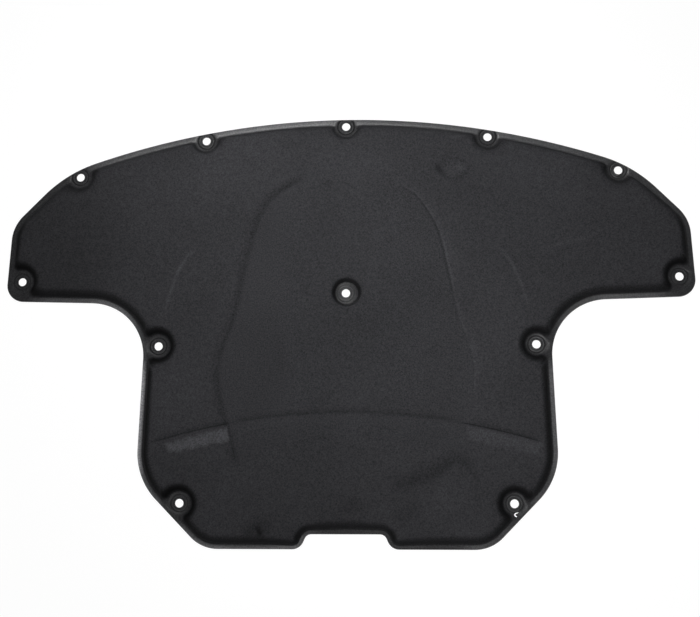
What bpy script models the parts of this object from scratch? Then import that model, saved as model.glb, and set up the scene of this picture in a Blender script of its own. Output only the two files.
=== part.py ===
"""Hood insulation pad, lying on its flat back with the engine side up.

One blank of black felt is pressed in a hot mould. That leaves a thick raised field, a thin flange all
round it, and a seat pressed thin for each of twelve push clips, eleven along the edge and one in the
middle. The field keeps the shallow marks of the panel behind it: a bell, a lower step and two arcs.

Metres, +Z up. X runs across the hood and +Y towards the long curved edge. The origin is in the middle
of the bounding box, on the back face. The shape is drawn from its lowest edge at y = 0 and moved last.
"""

import math

import bmesh
import bpy
import numpy as np
from mathutils.geometry import delaunay_2d_cdt

# Outline, seen from above: the right half, mirrored to the left
WIDTH = 1.2025  # between the sharp corners of the wing tips
HEIGHT = 0.7495  # lowest edge to the crown of the curved edge
CURVE_RADIUS = 1.4034
SHOULDER_INSET = 0.09775  # wing tip's corner to the end of the curved edge, across
SHOULDER_RADIUS = 0.2270
WING_FLARE = 0.0065  # how far the wing's side leans out on its way down
WING_TOP_DROP = 0.1871  # drops are measured down from the crown
WING_TOP_RADIUS = 0.0675
WING_FOOT_DROP = 0.3231
WING_TIP_RADIUS = 0.0300
THROAT_HALF = 0.3500
THROAT_DROP = 0.3300
THROAT_RADIUS = 0.0960
HIP_HALF = 0.3598
HIP_LEVEL = 0.1179
HIP_RADIUS = 0.1160
HEEL_HALF = 0.2440
HEEL_RADIUS = 0.0665
NOTCH_MOUTH_HALF = 0.0769
NOTCH_MOUTH_RADIUS = 0.0205
NOTCH_TOP_HALF = 0.0657
NOTCH_DEPTH = 0.0249
NOTCH_TOP_RADIUS = 0.0124

# Section through the edge
FLANGE_THICKNESS = 0.0030
FIELD_THICKNESS = 0.0180
FLANGE_WIDTH = 0.0093
WALL_ANGLE = math.radians(68.0)
TOE_RADIUS = 0.0055
CREST_RADIUS = 0.0135
NOTCH_NARROWING = 0.24  # share of the flange and wall that the notch's tight corners take off
NOTCH_NARROWING_REACH = 0.1200
RIM_ROUND = 0.0008

# Clip seats
CLIP_HOLE_RADIUS = 0.00725
SEAT_RADIUS = 0.0208
SEAT_MOUTH_ROUND = 0.0080
SEAT_RING_RADIUS = 0.0158
SEAT_RING_DEPTH = 0.0005
CURVE_HOLE_GAP = 0.0126  # hole centre to the outline, along the curved edge
CURVE_HOLE_INNER = 0.2500
CURVE_HOLE_SHOULDER_GAP = 0.0275  # outer hole to the end of the curved edge, across
WING_HOLE_SIDE_GAP = 0.0281
WING_HOLE_FOOT_GAP = 0.0345
BODY_HOLE_GAP = 0.0280
BODY_HOLE_THROAT_DROP = 0.0744
HEEL_HOLE_GAP = 0.0250
HEEL_HOLE_LEVEL = 0.0760
CENTRE_HOLE_LEVEL = 0.4363
CENTRE_SEAT_RADIUS = 0.0200
CENTRE_TOE_RADIUS = 0.0030
CENTRE_CREST_RADIUS = 0.0070

# Marks pressed into the top of the field
BELL_DEPTH = 0.0012
BELL_RUN = 0.0040
BELL_CROWN_DROP = 0.0995
BELL_CROWN_RISE = 0.0080  # the crown's middle over its shoulders
BELL_SHOULDER_HALF = 0.1380
BELL_SHOULDER_RADIUS = 0.0850
BELL_WAIST_HALF = 0.1940
BELL_WAIST_LEVEL = 0.3920
BELL_WAIST_RADIUS = 0.0800
BELL_HIP_HALF = 0.2260
BELL_HIP_LEVEL = 0.3060
BELL_HIP_RADIUS = 0.1000
BELL_FOOT_HALF = 0.1840
LOWER_ARC_LEVEL = 0.1880
LOWER_ARC_RADIUS = 0.4550
UPPER_ARC_LEVEL = 0.2280
UPPER_ARC_RADIUS = 1.1220
UPPER_ARC_HIP_GAP = 0.0430
STEP_DEPTH = 0.0015
STEP_RUN = 0.0025
RAMP_WIDTH = 0.0200  # outside the bell, where the ramp below the step is narrow
RAMP_FADE = 0.0250
# From the throat's corner
APRON_ARC = ((-0.098, 0.1045), (-0.073, 0.0825), (-0.056, 0.0495), (-0.043, 0.0085), (-0.038, -0.0235))
APRON_DEPTH = 0.0006
APRON_HALF_WIDTH = 0.0040
DIMPLE_ACROSS = 0.1870
DIMPLE_DROP = 0.1015
DIMPLE_HALF_LENGTH = 0.0280
DIMPLE_HALF_WIDTH = 0.0130
DIMPLE_DEPTH = 0.0018

# A small tear through the flange beside the right heel hole, placed from that hole's centre
TEAR_ACROSS = 0.0026
TEAR_DROP = 0.0182
TEAR_LENGTH = 0.0080
TEAR_WIDTH = 0.0030

# How finely round stretches are drawn
ARC_STEP = math.radians(11.0)
CURVE_POINTS = 13
SEAT_POINTS = 11
MOUTH_POINTS = 4
CREST_POINTS = 5
HOLE_SIDES = 20
CENTRE_SEAT_SIDES = 36
CUT_MARGIN = 0.0020

PAD_NAME = "insulation_pad"

# Places that follow from the sizes above
CURVE_END_HALF = WIDTH / 2.0 - SHOULDER_INSET
WING_SIDE_TOP = HEIGHT - WING_TOP_DROP
WING_SIDE_FOOT = HEIGHT - WING_FOOT_DROP
THROAT_LEVEL = HEIGHT - THROAT_DROP
BODY_HOLE_LEVEL = THROAT_LEVEL - BODY_HOLE_THROAT_DROP
CURVE_HOLE_OUTER = CURVE_END_HALF - CURVE_HOLE_SHOULDER_GAP
BELL_CROWN_LEVEL = HEIGHT - BELL_CROWN_DROP
UPPER_ARC_HALF = HIP_HALF - UPPER_ARC_HIP_GAP
DIMPLE_CENTRE = (DIMPLE_ACROSS, HEIGHT - DIMPLE_DROP)


def clear_scene():
    for item in list(bpy.data.objects):
        bpy.data.objects.remove(item, do_unlink=True)


def make_collection(name):
    collection = bpy.data.collections.new(name)
    bpy.context.scene.collection.children.link(collection)
    return collection


def felt_material():
    material = bpy.data.materials.new("pressed_black_felt")
    material.use_nodes = True
    shader = material.node_tree.nodes["Principled BSDF"]
    shader.inputs["Base Color"].default_value = (0.035, 0.036, 0.040, 1.0)
    shader.inputs["Roughness"].default_value = 0.92
    shader.inputs["Metallic"].default_value = 0.0
    return material


def arc_points(centre, radius, start, sweep, count):
    """Points and outward directions along a circular arc."""
    angles = start + np.linspace(0.0, sweep, count)
    outward = np.stack([np.cos(angles), np.sin(angles)], axis=1)
    return np.asarray(centre) + radius * outward, outward


def angle_of(vector):
    return math.atan2(vector[1], vector[0])


def turn_between(first, second):
    """Signed angle from one direction to another, left turns positive."""
    return math.remainder(angle_of(second) - angle_of(first), math.tau)


def round_corner(before, corner, after, radius):
    """Arc that rounds a corner between two straight edges, with its inward normals.

    The path runs with the pad on its left, so the centre of a left turn is inside.
    """
    before, corner, after = np.asarray(before), np.asarray(corner), np.asarray(after)
    arriving = (corner - before) / np.linalg.norm(corner - before)
    leaving = (after - corner) / np.linalg.norm(after - corner)
    turn = turn_between(arriving, leaving)
    side = math.copysign(1.0, turn)
    start = corner - arriving * radius * math.tan(abs(turn) / 2.0)
    centre = start + side * radius * np.array([-arriving[1], arriving[0]])
    count = max(3, round(abs(turn) / ARC_STEP) + 1)
    points, outward = arc_points(centre, radius, angle_of(start - centre), turn, count)
    return points, -side * outward


def shoulder_and_curve(wing_top):
    """Rounded shoulder from the straight upper edge of the wing into the long curved edge."""
    curve_centre = np.array([0.0, HEIGHT - CURVE_RADIUS])
    curve_end = curve_centre + [CURVE_END_HALF, math.sqrt(CURVE_RADIUS**2 - CURVE_END_HALF**2)]
    along = (curve_end - wing_top) / np.linalg.norm(curve_end - wing_top)
    inward = np.array([-along[1], along[0]])
    # The centre lies one radius inside the straight edge and inside the curved edge
    shifted = curve_end + inward * SHOULDER_RADIUS - curve_centre
    across = shifted @ along
    reach = (CURVE_RADIUS - SHOULDER_RADIUS) ** 2 - shifted @ shifted + across**2
    centre = curve_centre + shifted + along * (math.sqrt(reach) - across)
    start = angle_of(-inward)
    end = angle_of(centre - curve_centre)
    count = round((end - start) / ARC_STEP) + 3
    shoulder, shoulder_out = arc_points(centre, SHOULDER_RADIUS, start, end - start, count)
    curve, curve_out = arc_points(curve_centre, CURVE_RADIUS, end, math.pi / 2.0 - end, CURVE_POINTS)
    return np.vstack([shoulder, curve[1:]]), -np.vstack([shoulder_out, curve_out[1:]])


def pad_outline():
    """Points of the whole outline and their inward normals, from the notch anticlockwise."""
    tip_half = WIDTH / 2.0
    notch_middle = (0.0, NOTCH_DEPTH)
    notch_top = (NOTCH_TOP_HALF, NOTCH_DEPTH)
    notch_mouth = (NOTCH_MOUTH_HALF, 0.0)
    heel = (HEEL_HALF, 0.0)
    hip = (HIP_HALF, HIP_LEVEL)
    throat = (THROAT_HALF, THROAT_LEVEL)
    wing_tip = (tip_half, WING_SIDE_FOOT)
    wing_top = (tip_half - WING_FLARE, WING_SIDE_TOP)
    curve_drop = CURVE_RADIUS - math.sqrt(CURVE_RADIUS**2 - CURVE_END_HALF**2)
    curve_end = (CURVE_END_HALF, HEIGHT - curve_drop)
    stretches = [
        (np.array([notch_middle]), np.array([(0.0, 1.0)])),
        round_corner(notch_middle, notch_top, notch_mouth, NOTCH_TOP_RADIUS),
        round_corner(notch_top, notch_mouth, heel, NOTCH_MOUTH_RADIUS),
        round_corner(notch_mouth, heel, hip, HEEL_RADIUS),
        round_corner(heel, hip, throat, HIP_RADIUS),
        round_corner(hip, throat, wing_tip, THROAT_RADIUS),
        round_corner(throat, wing_tip, wing_top, WING_TIP_RADIUS),
        round_corner(wing_tip, wing_top, curve_end, WING_TOP_RADIUS),
        shoulder_and_curve(np.array(wing_top)),
    ]
    points = np.vstack([stretch[0] for stretch in stretches])
    normals = np.vstack([stretch[1] for stretch in stretches])
    mirror = np.array([-1.0, 1.0])
    points = np.vstack([points, (points * mirror)[-2:0:-1]])
    normals = np.vstack([normals, (normals * mirror)[-2:0:-1]])
    return points, normals


def inset(outline, depth):
    return outline[0] + outline[1] * depth


def crossing(path, level, axis, choose):
    """Where a closed path crosses a straight line x = level or y = level."""
    other = 1 - axis
    found = []
    for first, second in zip(path, np.roll(path, -1, axis=0)):
        low, high = first[axis] - level, second[axis] - level
        if low * high <= 0.0 and low != high:
            share = low / (low - high)
            found.append(first[other] + share * (second[other] - first[other]))
    return choose(found)


def edge_holes(outline):
    """Centres of the eleven edge holes, each at its own distance inside the outline."""
    curve_path = inset(outline, CURVE_HOLE_GAP)
    body_path = inset(outline, BODY_HOLE_GAP)
    heel_path = inset(outline, HEEL_HOLE_GAP)
    right = [
        (crossing(heel_path, HEEL_HOLE_LEVEL, 1, max), HEEL_HOLE_LEVEL),
        (crossing(body_path, BODY_HOLE_LEVEL, 1, max), BODY_HOLE_LEVEL),
        (WIDTH / 2.0 - WING_HOLE_SIDE_GAP, WING_SIDE_FOOT + WING_HOLE_FOOT_GAP),
        (CURVE_HOLE_OUTER, crossing(curve_path, CURVE_HOLE_OUTER, 0, max)),
        (CURVE_HOLE_INNER, crossing(curve_path, CURVE_HOLE_INNER, 0, max)),
    ]
    crown = (0.0, HEIGHT - CURVE_HOLE_GAP)
    left = [(-x, y) for x, y in reversed(right)]
    return [np.array(hole) for hole in [*right, crown, *left]]


def mouth_centres(outline, hole, depth, seat_radius):
    """Centres of the two arcs that open a seat into the flange, with their places on the outline."""
    path = inset(outline, depth + SEAT_MOUTH_ROUND)
    reach = seat_radius + SEAT_MOUTH_ROUND
    entered, left = None, None
    for index, start in enumerate(path):
        along = path[(index + 1) % len(path)] - start
        offset = start - hole
        middle = -(offset @ along) / (along @ along)
        spare = middle**2 - (offset @ offset - reach**2) / (along @ along)
        if spare <= 0.0:
            continue
        arriving, leaving = middle - math.sqrt(spare), middle + math.sqrt(spare)
        if 0.0 <= arriving < 1.0 and entered is None:
            entered = (index + arriving, start + arriving * along)
        if 0.0 <= leaving < 1.0:
            left = (index + leaving, start + leaving * along)
    return entered, left


def seat_bay(hole, seat_radius, entered, left, outline, depth):
    """The field's edge round one seat: a rounded mouth, the seat's arc and the other mouth."""

    def foot(place):
        index, share = int(place), place - int(place)
        following = (index + 1) % len(outline[0])
        point = outline[0][index] * (1.0 - share) + outline[0][following] * share
        normal = outline[1][index] * (1.0 - share) + outline[1][following] * share
        return point + normal * depth

    first, second = entered[1], left[1]
    first_angle = angle_of(first - hole)
    second_angle = angle_of(second - hole)
    around = -((first_angle - second_angle) % math.tau)
    start = angle_of(foot(entered[0]) - first)
    first_mouth, _ = arc_points(
        first, SEAT_MOUTH_ROUND, start, (first_angle + math.pi - start) % math.tau, MOUTH_POINTS
    )
    seat, _ = arc_points(hole, seat_radius, first_angle, around, SEAT_POINTS)
    end = angle_of(foot(left[0]) - second)
    start = second_angle + math.pi
    second_mouth, _ = arc_points(
        second, SEAT_MOUTH_ROUND, start, (end - start) % math.tau, MOUTH_POINTS
    )
    return np.vstack([first_mouth, seat[1:-1], second_mouth])


def wall_profile(toe_radius, crest_radius):
    """Steps of a wall from the flange to the field: distance inside the outline, and height."""
    rise = FIELD_THICKNESS - FLANGE_THICKNESS
    toe_start = FLANGE_WIDTH - toe_radius * math.tan(WALL_ANGLE / 2.0)
    crest_end = FLANGE_WIDTH + rise / math.tan(WALL_ANGLE) + crest_radius * math.tan(WALL_ANGLE / 2.0)
    toe = np.linspace(WALL_ANGLE / 5.0, WALL_ANGLE, 3)
    crest = np.linspace(WALL_ANGLE, 0.0, CREST_POINTS)
    steps = [(toe_start + toe_radius * math.sin(toe[0]), FLANGE_THICKNESS / 2.0)]
    for slope in toe:
        depth = toe_start + toe_radius * math.sin(slope)
        steps.append((depth, FLANGE_THICKNESS + toe_radius * (1.0 - math.cos(slope))))
    for slope in crest:
        depth = crest_end - crest_radius * math.sin(slope)
        steps.append((depth, FIELD_THICKNESS - crest_radius * (1.0 - math.cos(slope))))
    return steps


def wall_share(outline):
    """How wide the flange and wall are at each outline point: full, but less by the notch's corners."""
    mouth = np.array([NOTCH_MOUTH_HALF, 0.0])
    right = np.column_stack([np.abs(outline[0][:, 0]), outline[0][:, 1]])
    gap = np.linalg.norm(right - mouth, axis=1)
    near = np.clip(1.0 - gap / NOTCH_NARROWING_REACH, 0.0, 1.0)
    return 1.0 - NOTCH_NARROWING * near**2 * (3.0 - 2.0 * near)


def field_sections(outline, holes):
    """Closed loops of the raised field, one for each step of its wall, with equal point counts."""
    steps = wall_profile(TOE_RADIUS, CREST_RADIUS)
    share = wall_share(outline)[:, None]
    bays = []
    for depth, _ in steps:
        seat_radius = SEAT_RADIUS + depth - FLANGE_WIDTH
        level = []
        for hole in holes:
            entered, left = mouth_centres(outline, hole, depth, seat_radius)
            level.append((hole, seat_radius, entered, left))
        bays.append(level)
    # Outline points that lie in a seat's mouth at any height are left out at every height
    spans = []
    for number in range(len(holes)):
        first = min(level[number][2][0] for level in bays)
        last = max(level[number][3][0] for level in bays)
        spans.append((first, last))
    total = len(outline[0])
    sections = []
    for (depth, height), level in zip(steps, bays):
        path = inset(outline, depth * share)
        loop = [path[: math.ceil(spans[0][0])]]
        for number, (hole, seat_radius, entered, left) in enumerate(level):
            loop.append(seat_bay(hole, seat_radius, entered, left, outline, depth))
            following = spans[number + 1][0] if number + 1 < len(spans) else total
            loop.append(path[math.floor(spans[number][1]) + 1 : math.ceil(following)])
        flat = np.vstack(loop)
        sections.append(np.column_stack([flat, np.full(len(flat), height)]))
    return sections


def bell_loop():
    """Closed outline of the bell, anticlockwise, with its arched lower edge."""
    xs = np.linspace(0.0, BELL_FOOT_HALF, 8)
    lower = np.column_stack([xs, LOWER_ARC_LEVEL - LOWER_ARC_RADIUS + np.sqrt(LOWER_ARC_RADIUS**2 - xs**2)])
    hip = (BELL_HIP_HALF, BELL_HIP_LEVEL)
    waist = (BELL_WAIST_HALF, BELL_WAIST_LEVEL)
    shoulder = (BELL_SHOULDER_HALF, BELL_CROWN_LEVEL - BELL_CROWN_RISE)
    crown = (0.0, BELL_CROWN_LEVEL)
    right = [
        lower,
        round_corner(lower[-1], hip, waist, BELL_HIP_RADIUS)[0],
        round_corner(hip, waist, shoulder, BELL_WAIST_RADIUS)[0],
        round_corner(waist, shoulder, crown, BELL_SHOULDER_RADIUS)[0],
        np.array([crown]),
    ]
    right = np.vstack(right)
    return np.vstack([right, (right * [-1.0, 1.0])[-2:0:-1]])


def distance_to_path(points, path):
    """Shortest distance from each point to an open path."""
    first, second = path[:-1], path[1:]
    along = second - first
    offset = points[:, None, :] - first[None]
    share = np.clip((offset * along).sum(-1) / (along**2).sum(-1), 0.0, 1.0)
    return np.linalg.norm(offset - share[..., None] * along, axis=-1).min(axis=1)


def inside_loop(points, loop):
    """True for each point inside a closed loop, by counting crossings to its right."""
    first, second = loop, np.roll(loop, -1, axis=0)
    x, y = points[:, 0:1], points[:, 1:2]
    spans = (first[:, 1] > y) != (second[:, 1] > y)
    rise = np.where(first[:, 1] == second[:, 1], 1.0, second[:, 1] - first[:, 1])
    reached = first[:, 0] + (y - first[:, 1]) * (second[:, 0] - first[:, 0]) / rise
    return (spans & (x < reached)).sum(axis=1) % 2 == 1


def upper_arc(x):
    return UPPER_ARC_LEVEL - UPPER_ARC_RADIUS + np.sqrt(UPPER_ARC_RADIUS**2 - x**2)


def ramp_foot(x):
    """Lower end of the ramp under the step: the bell's arched edge, or a set width outside it."""
    arch = LOWER_ARC_LEVEL - LOWER_ARC_RADIUS + np.sqrt(LOWER_ARC_RADIUS**2 - np.clip(x, -0.3, 0.3) ** 2)
    return np.where(np.abs(x) < BELL_FOOT_HALF, arch, upper_arc(x) - RAMP_WIDTH)


def apron_arc():
    return np.array([THROAT_HALF, THROAT_LEVEL]) + np.array(APRON_ARC)


def field_relief(points, loop):
    """How far the field's top lies below its full thickness."""
    x, y = points[:, 0], points[:, 1]
    edge = distance_to_path(points, np.vstack([loop, loop[:1]]))
    bell = np.where(inside_loop(points, loop), np.clip(edge / BELL_RUN, 0.0, 1.0), 0.0) * BELL_DEPTH
    below = upper_arc(x) - y
    ramp = np.clip(1.0 - below / (upper_arc(x) - ramp_foot(x)), 0.0, 1.0)
    fade = np.clip((UPPER_ARC_HALF - np.abs(x)) / RAMP_FADE, 0.0, 1.0)
    step = np.clip(below / STEP_RUN, 0.0, 1.0) * ramp * fade * STEP_DEPTH
    mirrored = np.column_stack([np.abs(x), y])
    apron = np.clip(1.0 - distance_to_path(mirrored, apron_arc()) / APRON_HALF_WIDTH, 0.0, 1.0) * APRON_DEPTH
    across = (points - DIMPLE_CENTRE) / (DIMPLE_HALF_LENGTH, DIMPLE_HALF_WIDTH)
    dimple = np.clip(1.0 - (across**2).sum(axis=1), 0.0, 1.0) * DIMPLE_DEPTH
    return bell + step + apron + dimple


def shifted_path(path, offset):
    """A path moved sideways by an offset, for the edges of a groove or a step."""
    along = np.gradient(path, axis=0)
    along /= np.linalg.norm(along, axis=1)[:, None]
    return path + offset * np.column_stack([-along[:, 1], along[:, 0]])


def relief_lines(loop):
    """The creases of the field's top, as open paths that the top's triangles follow."""
    closed = np.vstack([loop, loop[:1]])
    lines = [closed, shifted_path(closed, BELL_RUN)]
    xs = np.linspace(-UPPER_ARC_HALF, UPPER_ARC_HALF, 27)
    lines.append(np.column_stack([xs, upper_arc(xs)]))
    lines.append(np.column_stack([xs, upper_arc(xs) - STEP_RUN]))
    for side in (-1.0, 1.0):
        xs = side * np.linspace(BELL_FOOT_HALF + RAMP_WIDTH, UPPER_ARC_HALF, 6)
        lines.append(np.column_stack([xs, upper_arc(xs) - RAMP_WIDTH]))
        arc = apron_arc() * [side, 1.0]
        lines += [shifted_path(arc, offset) for offset in (-APRON_HALF_WIDTH, 0.0, APRON_HALF_WIDTH)]
    for share in (1.0, 0.5):
        ellipse = np.linspace(0.0, math.tau, 17)
        size = np.array([DIMPLE_HALF_LENGTH, DIMPLE_HALF_WIDTH]) * share
        lines.append(DIMPLE_CENTRE + size * np.column_stack([np.cos(ellipse), np.sin(ellipse)]))
    return lines


def field_mesh(sections):
    """The raised field as one closed mesh: lofted wall, flat underside and creased top."""
    mesh = bmesh.new()
    rings = [[mesh.verts.new(point) for point in section] for section in sections]
    count = len(rings[0])
    for lower, upper in zip(rings, rings[1:]):
        for index in range(count):
            following = (index + 1) % count
            mesh.faces.new((lower[index], lower[following], upper[following], upper[index]))
    mesh.faces.new(rings[0][::-1])
    loop = bell_loop()
    flat = [tuple(point[:2]) for point in sections[-1]]
    creases = []
    for line in relief_lines(loop):
        creases += [(len(flat) + step, len(flat) + step + 1) for step in range(len(line) - 1)]
        flat += [tuple(point) for point in line]
    points, _, faces, origins, _, _ = delaunay_2d_cdt(flat, creases, [list(range(count))], 1, 1e-6)
    relief = field_relief(np.array([tuple(point) for point in points]), loop)
    verts = []
    for point, depth, origin in zip(points, relief, origins):
        rim = [index for index in origin if index < count]
        if rim:
            verts.append(rings[-1][rim[0]])
        else:
            verts.append(mesh.verts.new((point[0], point[1], FIELD_THICKNESS - depth)))
    for face in faces:
        mesh.faces.new([verts[index] for index in face])
    bmesh.ops.recalc_face_normals(mesh, faces=mesh.faces[:])
    return mesh


def object_from(mesh, name, collection):
    data = bpy.data.meshes.new(name)
    mesh.to_mesh(data)
    mesh.free()
    item = bpy.data.objects.new(name, data)
    collection.objects.link(item)
    return item


def flat_outline(name, points, thickness, collection, rim=0.0):
    """A flat piece cut to an outline, lying on z = 0, as a mesh with its rim rounded."""
    curve = bpy.data.curves.new(name, "CURVE")
    curve.dimensions = "2D"
    curve.fill_mode = "BOTH"
    curve.extrude = thickness / 2.0 - rim
    curve.bevel_depth = rim
    curve.bevel_resolution = 1
    curve.offset = -rim
    spline = curve.splines.new("POLY")
    spline.points.add(len(points) - 1)
    for place, point in zip(spline.points, points):
        place.co = (point[0], point[1], 0.0, 1.0)
    spline.use_cyclic_u = True
    drawn = bpy.data.objects.new(name + "_curve", curve)
    drawn.location.z = thickness / 2.0
    collection.objects.link(drawn)
    bpy.context.view_layer.update()
    evaluated = drawn.evaluated_get(bpy.context.evaluated_depsgraph_get())
    data = bpy.data.meshes.new_from_object(evaluated)
    item = bpy.data.objects.new(name, data)
    item.matrix_world = drawn.matrix_world.copy()
    collection.objects.link(item)
    bpy.data.objects.remove(drawn, do_unlink=True)
    mesh = bmesh.new()
    mesh.from_mesh(data)
    bmesh.ops.remove_doubles(mesh, verts=mesh.verts[:], dist=0.00001)
    bmesh.ops.recalc_face_normals(mesh, faces=mesh.faces[:])
    mesh.to_mesh(data)
    mesh.free()
    return item


def turned_cutter(name, profile, centre, steps, collection):
    """A cutter turned from a profile of (radius, height) points that runs from bottom to top."""
    mesh = bmesh.new()
    verts = [mesh.verts.new((radius, 0.0, height)) for radius, height in reversed(profile)]
    for first, second in zip(verts, verts[1:]):
        mesh.edges.new((first, second))
    item = object_from(mesh, name, collection)
    item.location = (centre[0], centre[1], 0.0)
    screw = item.modifiers.new("turn", "SCREW")
    screw.steps = steps
    screw.render_steps = steps
    screw.use_merge_vertices = True
    screw.merge_threshold = 0.00001
    return item


def edge_seat_cutter(name, hole, collection):
    """Clip hole with the shallow ring that the clip's washer leaves round it."""
    ring_floor = FLANGE_THICKNESS - SEAT_RING_DEPTH
    top = FLANGE_THICKNESS + CUT_MARGIN
    profile = [
        (0.0, -CUT_MARGIN),
        (CLIP_HOLE_RADIUS, -CUT_MARGIN),
        (CLIP_HOLE_RADIUS, ring_floor),
        (SEAT_RING_RADIUS, ring_floor),
        (SEAT_RING_RADIUS, top),
        (0.0, top),
    ]
    return turned_cutter(name, profile, hole, HOLE_SIDES, collection)


def centre_seat_cutter(collection):
    """Clip hole and seat in the middle of the field: flat floor, sloping wall, rounded crest."""
    steps = wall_profile(CENTRE_TOE_RADIUS, CENTRE_CREST_RADIUS)
    wall = [(CENTRE_SEAT_RADIUS + depth - FLANGE_WIDTH, height) for depth, height in steps[1:-1]]
    floor_radius = CENTRE_SEAT_RADIUS - FLANGE_WIDTH + steps[0][0] - CENTRE_TOE_RADIUS / 2.0
    top = FIELD_THICKNESS + CUT_MARGIN
    profile = [
        (0.0, -CUT_MARGIN),
        (CLIP_HOLE_RADIUS, -CUT_MARGIN),
        (CLIP_HOLE_RADIUS, FLANGE_THICKNESS),
        (floor_radius, FLANGE_THICKNESS),
        *wall,
        (wall[-1][0] + CUT_MARGIN / 2.0, top),
        (0.0, top),
    ]
    centre = (0.0, CENTRE_HOLE_LEVEL)
    return turned_cutter("centre_seat_cutter", profile, centre, CENTRE_SEAT_SIDES, collection)


def tear_cutter(heel_hole, collection):
    """A bent slit, where the flange has split beside the heel hole."""
    reach, width = TEAR_LENGTH / 2.0, TEAR_WIDTH
    outline = [
        (reach, reach),
        (-reach + width / 2.0, reach - width / 2.0),
        (-reach, 0.0),
        (0.0, -reach),
        (width / 2.0, -reach + width / 2.0),
        (-width / 2.0, 0.0),
        (0.0, width / 2.0),
    ]
    points = [(heel_hole[0] + TEAR_ACROSS + x, heel_hole[1] - TEAR_DROP + y) for x, y in outline]
    cutter = flat_outline("tear_cutter", points, FLANGE_THICKNESS + 2.0 * CUT_MARGIN, collection)
    cutter.location.z -= CUT_MARGIN
    return cutter


def combine(item, other, operation):
    modifier = item.modifiers.new(other.name, "BOOLEAN")
    modifier.operation = operation
    modifier.solver = "EXACT"
    modifier.object = other
    other.hide_render = True
    other.display_type = "WIRE"


def build():
    clear_scene()
    parts = make_collection("hood_insulation_pad")
    tools = make_collection("forming_tools")
    outline = pad_outline()
    holes = edge_holes(outline)
    pad = flat_outline(PAD_NAME, outline[0], FLANGE_THICKNESS, parts, RIM_ROUND)
    pad.data.materials.append(felt_material())
    field = object_from(field_mesh(field_sections(outline, holes)), "raised_field", tools)
    combine(pad, field, "UNION")
    combine(pad, centre_seat_cutter(tools), "DIFFERENCE")
    for number, hole in enumerate(holes):
        combine(pad, edge_seat_cutter(f"edge_seat_cutter_{number + 1}", hole, tools), "DIFFERENCE")
    combine(pad, tear_cutter(holes[0], tools), "DIFFERENCE")
    # The whole model moves so that its origin is in the middle of the bounding box
    middle = HEIGHT / 2.0
    for item in [*parts.objects, *tools.objects]:
        item.location.y -= middle
    pad.data.shade_smooth()
    pad.data.set_sharp_from_angle(angle=math.radians(35.0))


build()
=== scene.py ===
"""Hood insulation pad on a pale floor, engine side up, seen from above."""

import math

import bmesh
import bpy
import numpy as np
from mathutils import Matrix, Vector
from mathutils.geometry import delaunay_2d_cdt


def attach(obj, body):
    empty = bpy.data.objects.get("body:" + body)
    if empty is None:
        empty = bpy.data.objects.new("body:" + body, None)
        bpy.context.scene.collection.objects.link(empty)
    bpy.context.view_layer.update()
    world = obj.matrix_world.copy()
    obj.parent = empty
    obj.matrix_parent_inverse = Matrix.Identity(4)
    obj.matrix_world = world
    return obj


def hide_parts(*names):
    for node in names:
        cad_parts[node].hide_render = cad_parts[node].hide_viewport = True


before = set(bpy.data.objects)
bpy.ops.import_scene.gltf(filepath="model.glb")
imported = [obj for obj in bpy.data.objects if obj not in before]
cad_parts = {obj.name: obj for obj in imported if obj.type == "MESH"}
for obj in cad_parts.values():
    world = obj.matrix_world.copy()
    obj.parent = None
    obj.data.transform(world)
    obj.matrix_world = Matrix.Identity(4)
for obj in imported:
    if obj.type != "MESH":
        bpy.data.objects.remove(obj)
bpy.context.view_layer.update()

# The pad's plan. A steel rule cuts the pressed blank to this outline: a long
# curved edge, two wings, a body between two throats, and a notch at its foot.

CROWN = 0.7495  # crown of the curved edge above the lowest edge
CURVE_RADIUS = 1.4034
CURVE_END = (0.5035, CROWN - CURVE_RADIUS + math.sqrt(CURVE_RADIUS**2 - 0.5035**2))
SHOULDER_RADIUS = 0.2270
# Corners of the right half from the notch to the wing, with the radius that rounds each
PLAN_CORNERS = (
    (0.0657, 0.0249, 0.0124),
    (0.0769, 0.0000, 0.0205),
    (0.2440, 0.0000, 0.0665),
    (0.3598, 0.1179, 0.1160),
    (0.3500, 0.4195, 0.0960),
    (0.60125, 0.4264, 0.0300),
    (0.59475, 0.5624, 0.0675),
)
PLAN_STEP = 0.0038
PLAN_TURN = math.radians(6.0)


def arc(centre, radius, start, sweep):
    """Circle's centre plus the radius times the cosine and sine of an evenly stepped angle."""
    step = min(PLAN_STEP, radius * PLAN_TURN)
    angle = start + np.linspace(0.0, sweep, max(4, round(abs(sweep) * radius / step) + 1))
    outward = np.column_stack([np.cos(angle), np.sin(angle)])
    return np.asarray(centre) + radius * outward, outward


def rounded(before, corner, after, radius):
    """The arc that touches both edges of a corner, its centre one radius inside them."""
    arriving = (corner - before) / np.linalg.norm(corner - before)
    leaving = (after - corner) / np.linalg.norm(after - corner)
    turn = math.atan2(arriving[0] * leaving[1] - arriving[1] * leaving[0], arriving @ leaving)
    side = math.copysign(1.0, turn)
    start = corner - arriving * radius * math.tan(abs(turn) / 2.0)
    centre = start + side * radius * np.array([-arriving[1], arriving[0]])
    spoke = start - centre
    points, outward = arc(centre, radius, math.atan2(spoke[1], spoke[0]), turn)
    return points, -side * outward


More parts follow.
